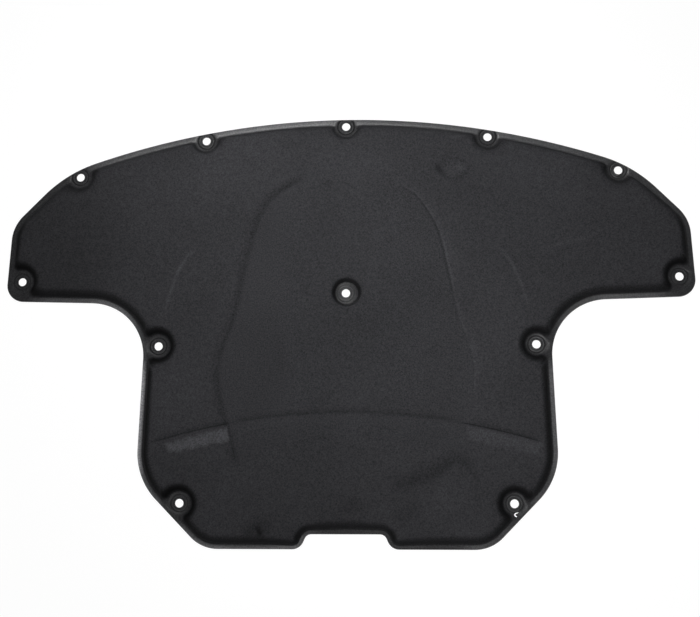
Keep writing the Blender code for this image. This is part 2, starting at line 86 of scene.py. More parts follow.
def shoulder_and_curve():
    """The shoulder's arc, tangent to the wing's upper edge and to the long arc, then that arc."""
    wing_top, curve_end = np.array(PLAN_CORNERS[-1][:2]), np.array(CURVE_END)
    along = (curve_end - wing_top) / np.linalg.norm(curve_end - wing_top)
    inward = np.array([-along[1], along[0]])
    middle = np.array([0.0, CROWN - CURVE_RADIUS])
    offset = curve_end + inward * SHOULDER_RADIUS - middle
    across = offset @ along
    reach = (CURVE_RADIUS - SHOULDER_RADIUS) ** 2 - offset @ offset + across**2
    centre = middle + offset + along * (math.sqrt(reach) - across)
    start = math.atan2(-inward[1], -inward[0])
    end = math.atan2(centre[1] - middle[1], centre[0] - middle[0])
    shoulder, shoulder_out = arc(centre, SHOULDER_RADIUS, start, end - start)
    curve, curve_out = arc(middle, CURVE_RADIUS, end, math.pi / 2.0 - end)
    return np.vstack([shoulder, curve[1:]]), -np.vstack([shoulder_out, curve_out[1:]])


def straight(first, last):
    """Evenly stepped points strictly between two others, with the normal on their left."""
    along = last - first
    count = max(1, math.ceil(np.linalg.norm(along) / PLAN_STEP))
    share = np.linspace(0.0, 1.0, count + 1)[1:-1, None]
    normal = np.array([-along[1], along[0]]) / np.linalg.norm(along)
    return first + share * along, np.repeat(normal[None], len(share), axis=0)


def plan_outline():
    """Closed outline and inward normals: the right half's arcs and straights, then its mirror."""
    corners = [np.array([0.0, PLAN_CORNERS[0][1]])]
    corners += [np.array(corner[:2]) for corner in PLAN_CORNERS]
    corners.append(np.array(CURVE_END))
    arcs = [(corners[0][None], np.array([[0.0, 1.0]]))]
    for place, corner in enumerate(PLAN_CORNERS, start=1):
        arcs.append(rounded(corners[place - 1], corners[place], corners[place + 1], corner[2]))
    arcs.append(shoulder_and_curve())
    stretches = [arcs[0]]
    for earlier, later in zip(arcs, arcs[1:]):
        stretches += [straight(earlier[0][-1], later[0][0]), later]
    points = np.vstack([stretch[0] for stretch in stretches])
    normals = np.vstack([stretch[1] for stretch in stretches])
    mirror = np.array([-1.0, 1.0])
    points = np.vstack([points, (points * mirror)[-2:0:-1]])
    normals = np.vstack([normals, (normals * mirror)[-2:0:-1]])
    return points, normals


# The pressed wall and the clip seats. The hot mould crushes the felt to a thin
# flange along the edge and round each clip hole, and leaves it thick between.

FLANGE = 0.0030
FIELD = 0.0180
FLANGE_WIDTH = 0.0093
WALL_ANGLE = math.radians(68.0)
TOE_RADIUS = 0.0040
CREST_RADIUS = 0.0135
UPPER_FLANGE_EXTRA = 0.0020  # more flange along the curved edge, above this level
UPPER_LEVEL = 0.57
UPPER_FADE = 0.06
NOTCH_NARROWING = 0.24
NOTCH_NARROWING_REACH = 0.0750
SEAT_RADIUS = 0.0208
# The right heel's, throat's and wing's seats were pressed a little smaller than the others
SMALLER_SEATS = (0.0192, 0.0190, 0.0197)
SEAT_MOUTH = 0.0080
CENTRE_TOE_RADIUS = 0.0030
CENTRE_CREST_RADIUS = 0.0044
CENTRE_WALL_ANGLE = math.radians(75.0)
CENTRE_SEAT_SHIFT = np.array([0.0016, -0.0005])
CENTRE_SEAT_RADIUS = 0.0204
CENTRE_HOLE = np.array([0.0, 0.4363])
# Edge holes of the right half, from the heel up, then the crown's
EDGE_HOLES = (
    (0.28360, 0.07600),
    (0.32666, 0.34510),
    (0.57315, 0.46090),
    (0.47600, 0.65032),
    (0.25000, 0.71413),
)
CROWN_HOLE = (0.0, CROWN - 0.0126)
TOE_STEPS = 6
CREST_STEPS = 12
MOUTH_STEPS = 8
SEAT_STEPS = 34


def smooth(value):
    """Zero below 0, one above 1, and 3v² less 2v³ between them."""
    v = np.clip(value, 0.0, 1.0)
    return v * v * (3.0 - 2.0 * v)


def wall_steps(toe_radius, crest_radius, angle):
    """Depth inside the outline and height: a toe arc, a straight slope and a crest arc."""
    rise = FIELD - FLANGE
    toe_start = FLANGE_WIDTH - toe_radius * math.tan(angle / 2.0)
    crest_end = FLANGE_WIDTH + rise / math.tan(angle) + crest_radius * math.tan(angle / 2.0)
    toe = np.linspace(0.0, angle, TOE_STEPS)
    crest = np.linspace(angle, 0.0, CREST_STEPS)
    low = np.column_stack(
        [toe_start + toe_radius * np.sin(toe), FLANGE + toe_radius * (1.0 - np.cos(toe))]
    )
    high = np.column_stack(
        [crest_end - crest_radius * np.sin(crest), FIELD - crest_radius * (1.0 - np.cos(crest))]
    )
    middle = low[-1] + np.linspace(0.0, 1.0, 4)[1:-1, None] * (high[0] - low[-1])
    return np.vstack([low, middle, high])


def edge_holes():
    """Centres of the eleven edge holes, anticlockwise from the right heel."""
    right = np.array(EDGE_HOLES)
    return np.vstack([right, [CROWN_HOLE], right[::-1] * [-1.0, 1.0]])


def bay(outline, normals, hole, radius, depth):
    """One seat's bay at one depth, and the stretch of outline that it takes out.

    The mouths are arcs that touch the wall's line and the seat's circle. Their centres lie where a
    line one mouth radius further in meets a circle one mouth radius wider than the seat.
    """
    seat = radius + depth - FLANGE_WIDTH
    inner = outline + normals * (depth + SEAT_MOUTH)
    gap = np.linalg.norm(inner - hole, axis=1) - seat - SEAT_MOUTH
    following = np.roll(gap, -1)
    enters = int(np.flatnonzero((gap > 0.0) & (following <= 0.0))[0])
    leaves = int(np.flatnonzero((gap <= 0.0) & (following > 0.0))[0])
    places = [index + gap[index] / (gap[index] - following[index]) for index in (enters, leaves)]
    count = len(outline)
    centres, outward = [], []
    for place in places:
        index, share = int(place), place % 1.0
        after = (index + 1) % count
        centres.append(inner[index] * (1.0 - share) + inner[after] * share)
        outward.append(-normals[index] * (1.0 - share) - normals[after] * share)
    spokes = [np.arctan2(*(centre - hole)[::-1]) for centre in centres]
    feet = [np.arctan2(*direction[::-1]) for direction in outward]
    first_turn = np.linspace(0.0, (spokes[0] + math.pi - feet[0]) % math.tau, MOUTH_STEPS)
    second_turn = np.linspace(0.0, (feet[1] - spokes[1] - math.pi) % math.tau, MOUTH_STEPS)
    seat_turn = -np.linspace(0.0, (spokes[0] - spokes[1]) % math.tau, SEAT_STEPS)
    angles = [feet[0] + first_turn, spokes[0] + seat_turn[1:-1], spokes[1] + math.pi + second_turn]
    arcs = zip((centres[0], hole, centres[1]), (SEAT_MOUTH, seat, SEAT_MOUTH), angles)
    loop = [middle + r * np.column_stack([np.cos(a), np.sin(a)]) for middle, r, a in arcs]
    return places, np.vstack(loop)


def wall_line(outline, normals):
    """The wall is offset from this: the outline, moved in smoothly along the curved edge."""
    extra = UPPER_FLANGE_EXTRA * smooth((outline[:, 1:] - UPPER_LEVEL) / UPPER_FADE)
    return outline + normals * extra


def wall_share(outline):
    """One, less a smooth share that grows towards the notch's two tight corners."""
    folded = np.column_stack([np.abs(outline[:, 0]), outline[:, 1]])
    gap = np.linalg.norm(folded - PLAN_CORNERS[1][:2], axis=1)
    return 1.0 - NOTCH_NARROWING * smooth(1.0 - gap / NOTCH_NARROWING_REACH)


def wall_loops(outline, normals, holes):
    """The wall's section carried along the outline: a closed loop for each step of the section."""
    steps = wall_steps(TOE_RADIUS, CREST_RADIUS, WALL_ANGLE)
    share = wall_share(outline)[:, None]
    outline = wall_line(outline, normals)
    radii = [*SMALLER_SEATS, *[SEAT_RADIUS] * (len(holes) - len(SMALLER_SEATS))]
    bays = [
        [bay(outline, normals, hole, radius, depth) for hole, radius in zip(holes, radii)]
        for depth, _ in steps
    ]
    starts = [min(level[number][0][0] for level in bays) for number in range(len(holes))]
    ends = [max(level[number][0][1] for level in bays) for number in range(len(holes))]
    loops = []
    for (depth, height), level in zip(steps, bays):
        line = outline + normals * depth * share
        pieces = [line[: math.ceil(starts[0])]]
        for number, (_, curve) in enumerate(level):
            following = starts[number + 1] if number + 1 < len(holes) else len(line)
            pieces += [curve, line[math.floor(ends[number]) + 1 : math.ceil(following)]]
        flat = np.vstack(pieces)
        loops.append(np.column_stack([flat, np.full(len(flat), height)]))
    return np.array(loops)


# The face of the field. It keeps the marks of the sheet metal that it was
# pressed against: a bell, a step with a ramp below it, two thin arcs, dents.

# The bell's outline from its left foot over its crown to its right foot
BELL = (
    (-0.186, 0.150),
    (-0.199, 0.198),
    (-0.209, 0.229),
    (-0.217, 0.263),
    (-0.221, 0.294),
    (-0.218, 0.325),
    (-0.208, 0.355),
    (-0.195, 0.388),
    (-0.187, 0.424),
    (-0.179, 0.465),
    (-0.171, 0.504),
    (-0.162, 0.543),
    (-0.151, 0.573),
    (-0.137, 0.598),
    (-0.120, 0.614),
    (-0.099, 0.628),
    (-0.070, 0.642),
    (-0.020, 0.650),
    (0.040, 0.648),
    (0.088, 0.634),
    (0.118, 0.614),
    (0.137, 0.592),
    (0.153, 0.567),
    (0.165, 0.538),
    (0.173, 0.503),
    (0.181, 0.465),
    (0.188, 0.428),
    (0.196, 0.390),
    (0.209, 0.352),
    (0.219, 0.323),
    (0.221, 0.294),
    (0.218, 0.263),
    (0.211, 0.228),
    (0.202, 0.190),
    (0.186, 0.150),
)
BELL_DEPTH = 0.0012
BELL_RUN = 0.0085
CRISP_RUN = 0.0030
LOWER_ARC = (0.188, 0.455)  # level of its crown, radius
UPPER_ARC = (0.228, 1.122)
UPPER_ARC_HALF = 0.330
STEP_DEPTH = 0.0014
STEP_RUN = 0.0022
SOFT_STEP_RUN = 0.0060
RAMP_WIDTH = 0.020
BELL_FOOT = 0.190  # half width of the bell's foot, where the lower arc ends it
LOWER_RUN = 0.004
ARC_FADE = 0.02  # width over which the upper arc fades at its ends and at the bell
APRON = ((-0.249, 0.524), (-0.277, 0.502), (-0.296, 0.466), (-0.310, 0.422), (-0.314, 0.392))
WING_LINE = ((0.314, 0.499), (0.360, 0.514), (0.429, 0.533), (0.479, 0.557))
HEEL_CREASES = (
    (
        (0.058, 0.097),
        (0.081, 0.104),
        (0.130, 0.116),
        (0.156, 0.127),
        (0.174, 0.143),
        (0.190, 0.149),
        (0.204, 0.142),
        (0.219, 0.127),
        (0.236, 0.104),
    ),
    ((0.081, 0.045), (0.108, 0.051), (0.133, 0.060)),
)
LEFT_BAND = ((-0.307, 0.175), (-0.299, 0.160), (-0.197, 0.182), (-0.202, 0.204))
RIGHT_BAND = ((0.205, 0.205), (0.209, 0.183), (0.324, 0.156), (0.331, 0.177))
CREASE_STEP = 0.0040
# Painted shade along the heel's two creases
HEEL_CREASE_SHADE = (0.15, 0.06)
# Shallow dents: centre, half width, half height, turn and depth
DENTS = (
    ((0.190, 0.654), 0.030, 0.018, 0.0, 0.0010),
    ((-0.035, 0.629), 0.016, 0.009, 0.0, 0.0006),
    ((-0.143, 0.027), 0.012, 0.016, 0.5, 0.0008),
)
# Painted light towards the top edge, painted shade and highlight round the dents and the heel's
# creases, and the felt's own mottle
# Paler and darker patches on the face: centre, half width, half height, turn and tone
PATCHES = (
    ((0.165, 0.088), 0.066, 0.046, 0.4, 0.18),
    ((0.165, 0.652), 0.020, 0.010, -0.82, -0.42),
    ((0.200, 0.656), 0.016, 0.014, 0.0, 0.14),
    ((-0.148, 0.034), 0.044, 0.026, 0.3, -0.36),
    ((-0.143, 0.027), 0.007, 0.018, 0.5, -0.45),
    ((-0.035, 0.629), 0.018, 0.010, 0.0, -0.12),
    ((0.021, 0.071), 0.040, 0.020, 0.0, -0.12),
    ((0.010, 0.335), 0.110, 0.090, 0.0, -0.10),
    ((-0.265, 0.262), 0.130, 0.150, 0.0, 0.19),
    ((-0.400, 0.580), 0.130, 0.080, 0.0, 0.08),
    ((-0.200, 0.650), 0.190, 0.115, 0.0, 0.28),
    ((0.020, 0.680), 0.150, 0.080, 0.0, 0.14),
    ((-0.130, 0.715), 0.170, 0.055, 0.0, 0.11),
    ((0.330, 0.665), 0.170, 0.075, 0.0, 0.10),
    ((0.480, 0.612), 0.100, 0.065, 0.0, 0.14),
    ((0.000, 0.070), 0.090, 0.060, 0.0, -0.14),
)
DIMPLE = ((0.187, 0.654), (0.027, 0.018))  # centre, half width and half height of its rim
# How much each mark's painted light makes the felt paler than round it, or its painted shade darker
# where negative
# Painted shade down the bell's left side
BELL_LEFT_SHADE = -0.36
# Its painted highlight, then its painted shade
BELL_RIGHT_HIGHLIGHT_AND_SHADE = (0.42, -0.24)  # its pale line, its dark line
# Painted light on the left and the right band
BAND_HIGHLIGHTS = (0.90, 0.32)
# Painted shade on the step's line beyond the bell and within it, and a painted highlight below
STEP_SHADE_AND_HIGHLIGHT = (-0.60, -0.26, 0.07)  # beyond the bell, within it, and the pale line below
# Painted light on the dimple's floor, painted shade on its rim
DIMPLE_HIGHLIGHT_AND_SHADE = (0.13, -0.12)  # its floor, its rim
# Painted shade over the left wing
LEFT_WING_SHADE = -0.16


def arc_level(arc_sizes, x):
    """Height of an arched line at x: crown, less radius, plus the root of radius² less x²."""
    crown, radius = arc_sizes
    return crown - radius + np.sqrt(radius**2 - np.clip(x, -0.42, 0.42) ** 2)


def spaced(path, step):
    """The path's points again at an even spacing, by straight interpolation along its length."""
    path = np.asarray(path, dtype=float)
    length = np.concatenate([[0.0], np.cumsum(np.linalg.norm(np.diff(path, axis=0), axis=1))])
    even = np.linspace(0.0, length[-1], max(3, round(length[-1] / step) + 1))
    return np.column_stack([np.interp(even, length, path[:, axis]) for axis in (0, 1)])


def softened(path, step):
    """A bent path made smooth: evenly spaced, then its x and y averaged over a short window."""
    even = spaced(path, step / 2.0)
    window = 9
    half = window // 2
    before = 2.0 * even[0] - even[half:0:-1]
    after = 2.0 * even[-1] - even[-2 : -half - 2 : -1]
    longer = np.vstack([before, even, after])
    kernel = np.ones(window) / window
    averaged = [np.convolve(longer[:, axis], kernel, "valid") for axis in (0, 1)]
    return spaced(np.column_stack(averaged), step)


BLOCK = 2000  # points handled at one time, to spare memory


def away(points, path):
    """Distance to a path, which side of it a point is on (left positive), and how far along it."""
    first, along = path[:-1], np.diff(path, axis=0)
    length = np.linalg.norm(along, axis=1)
    distance = np.empty(len(points))
    side = np.empty(len(points))
    share = np.empty(len(points))
    for start in range(0, len(points), BLOCK):
        part = points[start : start + BLOCK]
        offset = part[:, None, :] - first[None]
        t = np.clip((offset * along).sum(-1) / length**2, 0.0, 1.0)
        gap = offset - t[..., None] * along
        squared = (gap**2).sum(-1)
        nearest = squared.argmin(axis=1)
        rows = np.arange(len(part))
        chord, reach = along[nearest], offset[rows, nearest]
        cross = chord[:, 0] * reach[:, 1] - chord[:, 1] * reach[:, 0]
        distance[start : start + BLOCK] = np.sqrt(squared[rows, nearest])
        side[start : start + BLOCK] = np.where(cross >= 0.0, 1.0, -1.0)
        share[start : start + BLOCK] = (nearest + t[rows, nearest]) / len(first)
    return distance, side, share


def inside(points, loop):
    """True within a closed loop, by counting the edges that a ray to the right crosses."""
    first, second = loop, np.roll(loop, -1, axis=0)
    rise = np.where(first[:, 1] == second[:, 1], 1.0, second[:, 1] - first[:, 1])
    result = np.empty(len(points), dtype=bool)
    for start in range(0, len(points), BLOCK):
        x, y = points[start : start + BLOCK, 0:1], points[start : start + BLOCK, 1:2]
        spans = (first[:, 1] > y) != (second[:, 1] > y)
        reached = first[:, 0] + (y - first[:, 1]) * (second[:, 0] - first[:, 0]) / rise
        result[start : start + BLOCK] = (spans & (x < reached)).sum(axis=1) % 2 == 1
    return result


def groove(points, path, half_width, fade):
    """One on the path, falling smoothly to nothing at the half width, and towards both ends."""
    distance, _, share = away(points, path)
    ends = smooth(share / fade) * smooth((1.0 - share) / fade)
    return smooth(1.0 - distance / half_width) * ends


def bump(points, centre, half_x, half_y, turn):
    """A smooth dome of height one over an ellipse, turned about its centre."""
    c, s = math.cos(turn), math.sin(turn)
    offset = points - np.asarray(centre)
    across = (offset[:, 0] * c + offset[:, 1] * s) / half_x
    along = (offset[:, 1] * c - offset[:, 0] * s) / half_y
    return smooth(1.0 - np.sqrt(across**2 + along**2))


bell = softened(BELL, CREASE_STEP)
mirrored_apron = np.array(APRON)[::-1] * [-1.0, 1.0]
apron_lines = [softened(APRON, CREASE_STEP), softened(mirrored_apron, CREASE_STEP)]
wing_line = softened(WING_LINE, CREASE_STEP)
heel_creases = [softened(line, CREASE_STEP) for line in HEEL_CREASES]
# Each group of creases: depth, half width, fade at the ends, tone and the tone's half width
CREASES = (
    (apron_lines, 0.0005, 0.0050, 0.25, 0.38, 0.0045),
    ([wing_line], 0.0004, 0.0060, 0.30, 0.20, 0.0050),
    (heel_creases, 0.0004, 0.0060, 0.25, 0.0, 0.0050),
)


def face_relief(points):
    """How far the face lies below its full thickness: the sum of its marks, each a smooth step."""
    x, y = points[:, 0], points[:, 1]
    distance, side, _ = away(points, bell)
    # The bell's edge slopes gently on its left, is crisp on its right and fades over its crown
    right = smooth((x + 0.05) / 0.15)
    run = BELL_RUN - (BELL_RUN - CRISP_RUN) * right
    fade = (0.10 + 0.90 * smooth((np.abs(x) - 0.065) / 0.05)) * (1.0 - 0.35 * right)
    edge = smooth(0.5 * (1.0 - right) - distance * side / run)
    arch = arc_level(LOWER_ARC, x)
    relief = BELL_DEPTH * edge * smooth((y - arch) / LOWER_RUN) * fade
    below = arc_level(UPPER_ARC, x) - y
    foot = np.where(np.abs(x) < BELL_FOOT, arch, arc_level(UPPER_ARC, x) - RAMP_WIDTH)
    ramp = np.clip(1.0 - below / np.maximum(arc_level(UPPER_ARC, x) - foot, 0.001), 0.0, 1.0)
    ends = smooth((UPPER_ARC_HALF - np.abs(x)) / ARC_FADE)
    # The step is crisp beyond the bell and soft within it
    step = smooth(below / (STEP_RUN + SOFT_STEP_RUN * smooth((0.205 - np.abs(x)) / ARC_FADE)))
    relief += STEP_DEPTH * step * ramp * ends
    for lines, depth, half_width, fade, _, _ in CREASES:
        for line in lines:
            relief += depth * groove(points, line, half_width, fade)
    for centre, half_x, half_y, turn, depth in DENTS:
        relief += depth * bump(points, centre, half_x, half_y, turn)
    return relief


def within(points, corners, soft):
    """One inside a convex shape given anticlockwise, falling to nothing over a soft margin."""
    corners = np.asarray(corners)
    depth = np.full(len(points), np.inf)
    for first, second in zip(corners, np.roll(corners, -1, axis=0)):
        along = (second - first) / np.linalg.norm(second - first)
        offset = points - first
        depth = np.minimum(depth, along[0] * offset[:, 1] - along[1] * offset[:, 0])
    return smooth(depth / soft + 0.5)


def face_painted_light_and_tone(points):
    """How much paler or darker the face is: painted light and shade on its marks, bands and left
    wing, paler apron and wing lines, and patches.
    """
    x, y = points[:, 0], points[:, 1]
    distance, side, share = away(points, bell)
    inwards = distance * side
    # A soft line of painted shade down the bell's left side
    left = smooth((-0.062 - x) / 0.035)
    left *= 0.75 + 0.25 * smooth((share - 0.3) / 0.1)
    tone = BELL_LEFT_SHADE * left * smooth(1.0 - distance / BELL_RUN)
    # A thin painted highlight with a painted shade beside it down its right side, strongest at the
    # top
    right = smooth((x - 0.080) / 0.035) * (0.55 + 0.45 * smooth((0.77 - share) / 0.05))
    right *= 0.35 + 0.65 * smooth((share - 0.60) / 0.05)
    pale = smooth(1.0 - np.abs(inwards - 0.001) / 0.0035) * smooth((0.93 - share) / 0.05)
    dark = smooth(1.0 - np.abs(inwards + 0.003) / 0.004) * smooth((0.86 - share) / 0.1)
    tone += right * (BELL_RIGHT_HIGHLIGHT_AND_SHADE[0] * pale + BELL_RIGHT_HIGHLIGHT_AND_SHADE[1] * dark)
    # Painted light on the two bands
    tone += BAND_HIGHLIGHTS[0] * within(points, LEFT_BAND, 0.003)
    tone += BAND_HIGHLIGHTS[1] * within(points, RIGHT_BAND, 0.006)
    # The step's painted shade is a sharp dark line beyond the bell and soft within it, with a faint
    # painted highlight below
    upper = y - arc_level(UPPER_ARC, x)
    sides = smooth((np.abs(x) - BELL_FOOT) / ARC_FADE) * smooth((0.335 - np.abs(x)) / ARC_FADE)
    tone += STEP_SHADE_AND_HIGHLIGHT[0] * sides * smooth(1.0 - np.abs(upper - 0.0003) / 0.0024)
    middle = smooth((0.20 - np.abs(x)) / 0.03)
    tone += STEP_SHADE_AND_HIGHLIGHT[1] * middle * smooth(1.0 - np.abs(upper - 0.002) / 0.006)
    tone += STEP_SHADE_AND_HIGHLIGHT[2] * middle * smooth(1.0 - np.abs(upper + 0.009) / 0.012)
    for lines, _, _, fade, amount, half_width in CREASES:
        for line in lines:
            tone += amount * groove(points, line, half_width, fade)
    # Painted shade along the heel's creases: a thin line on each and a broad one beside it
    for line, amount in zip(heel_creases, HEEL_CREASE_SHADE):
        tone -= 0.8 * amount * groove(points, line, 0.0080, 0.25)
        tone -= 1.3 * amount * groove(points, line + (-0.004, 0.005), 0.0220, 0.3)
    # Painted light on the dimple's floor and painted shade round its rim
    reach = np.linalg.norm((points - DIMPLE[0]) / DIMPLE[1], axis=1)
    tone += DIMPLE_HIGHLIGHT_AND_SHADE[0] * smooth((1.0 - reach) / 0.5)
    tone += DIMPLE_HIGHLIGHT_AND_SHADE[1] * smooth(1.0 - np.abs(reach - 1.0) / 0.22)
    # Painted shade darkens the left wing; the patches are partly painted light and shade, partly
    # the felt's own mottle
    tone += LEFT_WING_SHADE * smooth((-0.36 - x) / 0.16)
    for centre, half_x, half_y, turn, amount in PATCHES:
        tone += amount * bump(points, centre, half_x, half_y, turn)
    return tone


FACE_STEP = 0.0058
FINE_STEP = 0.0026
CREASE_ROWS = (-0.0045, -0.0022, 0.0, 0.0022, 0.0045)
# Where the dents need closer points: centre and radius
FINE_SPOTS = (((0.187, 0.648), 0.034), ((-0.143, 0.027), 0.018), ((-0.035, 0.629), 0.018))


def face_points(loop):
    """Points over the face: a staggered grid, with rows of closer points along each mark."""
    low, high = loop.min(axis=0), loop.max(axis=0)
    rows = np.arange(low[1], high[1], FACE_STEP * math.sqrt(0.75))
    columns = np.arange(low[0], high[0], FACE_STEP)
    x, y = np.meshgrid(columns, rows)
    x = x + (np.arange(len(rows)) % 2)[:, None] * FACE_STEP / 2.0
    plain = np.column_stack([x.ravel(), y.ravel()])
    plain = plain[inside(plain, loop)]
    xs = np.linspace(-UPPER_ARC_HALF, UPPER_ARC_HALF, 165)
    upper = np.column_stack([xs, arc_level(UPPER_ARC, xs)])
    middle = np.linspace(-BELL_FOOT, BELL_FOOT, 96)
    lower = np.column_stack([middle, arc_level(LOWER_ARC, middle)])
    sides = [upper[beyond] - (0.0, RAMP_WIDTH) for beyond in (xs > BELL_FOOT, xs < -BELL_FOOT)]
    marks = [
        (bell, (-0.0085, -0.0062, -0.0042, -0.0027, -0.0014, 0.0, 0.0014, 0.0030)),
        (upper, (-0.0050, -0.0034, -0.0022, -0.0015, -0.0008, 0.0, 0.0015)),
        (lower, (-0.0030, -0.0012, 0.0, 0.0014, 0.0030)),
        *((side, (-0.0030, -0.0012, 0.0, 0.0012, 0.0030)) for side in sides),
        (spaced(LEFT_BAND[2:], CREASE_STEP), (-0.0028, -0.0012, 0.0, 0.0012, 0.0028)),
        *((line, CREASE_ROWS) for group in CREASES for line in group[0]),
    ]
    rows_found = []
    for line, offsets in marks:
        along = np.gradient(line, axis=0)
        left = np.column_stack([-along[:, 1], along[:, 0]]) / np.linalg.norm(along, axis=1)[:, None]
        rows_found += [line + offset * left for offset in offsets]
        plain = plain[away(plain, line)[0] > max(-offsets[0], offsets[-1]) + FINE_STEP]
    for centre, half in FINE_SPOTS:
        fine = np.arange(-half, half, FINE_STEP)
        u, v = np.meshgrid(fine, fine)
        spot = np.column_stack([u.ravel(), v.ravel()]) + centre
        spot = spot[np.linalg.norm(spot - centre, axis=1) < half]
        plain = plain[np.linalg.norm(plain - centre, axis=1) > half + 0.002]
        rows_found.append(spot)
    return np.vstack([plain, *rows_found])


def fill(outer, holes, spots, clear):
    """Triangles between an outer loop and the loops inside it, over loose points, by Delaunay."""
    rims = np.vstack([outer, *holes])
    keep = inside(spots, outer) if len(spots) else np.zeros(0, dtype=bool)
    spots = spots[keep]
    if len(spots):
        near = np.empty(len(spots))
        for start in range(0, len(spots), BLOCK):
            part = spots[start : start + BLOCK]
            squared = ((part[:, None] - rims[None]) ** 2).sum(-1)
            near[start : start + BLOCK] = np.sqrt(squared.min(axis=1))
        spots = spots[near > clear]
    corners = np.vstack([rims, spots])
    edges, start = [], 0
    for loop in [outer, *holes]:
        ring = np.arange(start, start + len(loop))
        edges.append(np.column_stack([ring, np.roll(ring, -1)]))
        start += len(loop)
    whole = [list(range(len(outer)))]
    found = delaunay_2d_cdt(corners.tolist(), np.vstack(edges).tolist(), whole, 1, 1e-7)
    points = np.array([tuple(point) for point in found[0]])
    faces = np.array(found[2])
    middles = points[faces].mean(axis=1)
    outside = np.zeros(len(faces), dtype=bool)
    for loop in holes:
        outside |= inside(middles, loop)
    return points, faces[~outside]


def ring(centre, radius, count=60):
    """Points round a circle: its centre plus the radius times cosine and sine."""
    angle = np.linspace(0.0, math.tau, count, endpoint=False)
    return np.asarray(centre) + radius * np.column_stack([np.cos(angle), np.sin(angle)])


# The pad itself: one moulded piece of resin-bonded felt under a black
# non-woven face, pressed, then cut out and punched for its push clips.

HOLE_RADIUS = 0.00725
HOLE_ROUND = 0.0005
RING_RADIUS = 0.0158
RING_DEPTH = 0.0005
RING_RUN = 0.0008
GROOVES = (0.0104, 0.0142)
GROOVE_HALF = 0.0011
GROOVE_DEPTH = 0.0006
# Radii of the rings of points that a seat's floor needs
FLOOR_RINGS = (0.0085, 0.0093, 0.0098, 0.0104, 0.0110, 0.0115, 0.0124, 0.0131)
FLOOR_RINGS += (0.0136, 0.0142, 0.0148, 0.0153, 0.0155, 0.0158, 0.0162)
FACE_CLEAR = 0.0024
FLOOR_CLEAR = 0.0007
CENTRE_CLEAR = 0.0005
# Places on the edge's right half: the felt's gloss from the press and how pale its painted sheen
# makes it, there and then at the same place on the left
EDGE_GLOSS_AND_SHEEN = (
    (0.130, 0.743, 0.78, 0.07, 0.90, 0.20),
    (0.360, 0.702, 1.00, 0.09, 0.78, 0.115),
    (0.545, 0.618, 1.00, 0.05, 0.30, 0.0),
    (0.598, 0.510, 0.85, 0.015, 0.05, 0.0),
    (0.592, 0.432, 0.40, 0.0, 0.05, 0.0),
    (0.500, 0.424, 1.00, 0.11, 0.86, 0.14),
    (0.392, 0.403, 1.00, 0.05, 0.90, 0.27),
    (0.349, 0.345, 0.20, 0.0, 0.30, 0.08),
    (0.354, 0.270, 1.00, 0.21, 1.00, 1.0),
    (0.357, 0.180, 1.00, 0.20, 1.00, 1.0),
    (0.330, 0.088, 0.62, 0.07, 0.80, 0.26),
    (0.300, 0.058, 0.26, 0.01, 0.22, 0.05),
    (0.262, 0.018, 0.44, 0.05, 0.90, 0.27),
    (0.150, 0.0, 0.12, 0.0, 0.52, 0.13),
)
NOTCH_GLOSS_AND_SHEEN = (0.0, 0.025, 0.10, 0.0)
# Radius, half width and tone of the rings of painted shade and highlight beside the grooves and
# step that the mould leaves on a seat
SEAT_RING_SHADES = (
    (0.0095, 0.0010, -0.40),
    (0.0113, 0.0016, 0.40),
    (0.0145, 0.0016, -0.78),
    (0.0167, 0.0013, 0.20),
)
# Each seat's strength of painted ring shade, its gloss and the least painted shade on its wall,
# from the right heel anticlockwise round the edge, and the centre seat's last
SEAT_SHADE_AND_GLOSS = (
    (0.50, 0.40, 1.05),
    (1.00, 0.54, 1.00),
    (0.45, 0.20, 1.12),
    (0.50, 0.80, 0.10),
    (0.80, 0.24, 0.30),
    (1.00, 0.22, 0.0),
    (0.90, 0.40, 0.0),
    (0.80, 0.17, 0.58),
    (0.45, 0.03, 1.12),
    (1.00, 0.30, 1.12),
    (0.40, 0.34, 1.12),
    (0.12, 0.66, 0.0),
)
# Share of a wall's width from its foot, and how much painted shade darkens it there
WALL_SHADES = (
    (0.0, 0.10, 0.16, 0.22, 0.27, 0.33, 0.45, 0.56, 0.67, 0.78, 0.90, 1.0),
    (0.0, 0.0, 0.10, 0.40, 0.64, 0.76, 0.78, 0.74, 0.64, 0.46, 0.22, 0.06),
)
# How far a wall faces up the plan, and the share of that painted shade it takes: most on a wall
# that faces sideways, while on the long edge's wall it turns into painted light, paler than the
# field
WALL_FACING = ((-1.0, -0.3, 0.3, 0.75, 0.95), (0.74, 1.10, 1.06, 0.32, -0.25))
# The walls on the right take less of the painted shade
RIGHT_WALLS_PALER = 0.12
# Distance from its hole at which a seat's own painted shade ends, and the width it fades over
SEAT_WALL_REACH = (0.034, 0.010)
# Share of the walls' painted shade that the centre seat's wall takes
CENTRE_SHADE = 0.58
# Painted shade on the face just inside the wall's crest and round the centre seat, fading over its
# reach
CREST_SHADE = 0.06
CREST_SHADE_REACH = 0.005
CREST_SHADE_TOP = (0.700, 0.08)  # level at which it ends, and the width it fades over
MARKS_FADE = 0.006  # the marks on the face fade within this of its crest
# How far in from the rim the felt is glossy and carries its painted sheen: everywhere, and more on
# the right, above the throats and along the curved edge
FINISH_REACH = (0.0045, 0.0011, 0.0009, 0.0043)
FINISH_FADE = 0.0030
SEAT_FINISH_RADIUS = 0.0195
CUT_REACH = 0.0011
# Depth inside the outline and height, from the back up over the cut edge to the flange
RIM_SECTION = (
    (0.0018, 0.0),
    (0.0007, 0.0),
    (0.0002, 0.0002),
    (0.0, 0.0007),
    (0.0, 0.0021),
    (0.0003, 0.0027),
    (0.0011, FLANGE),
)
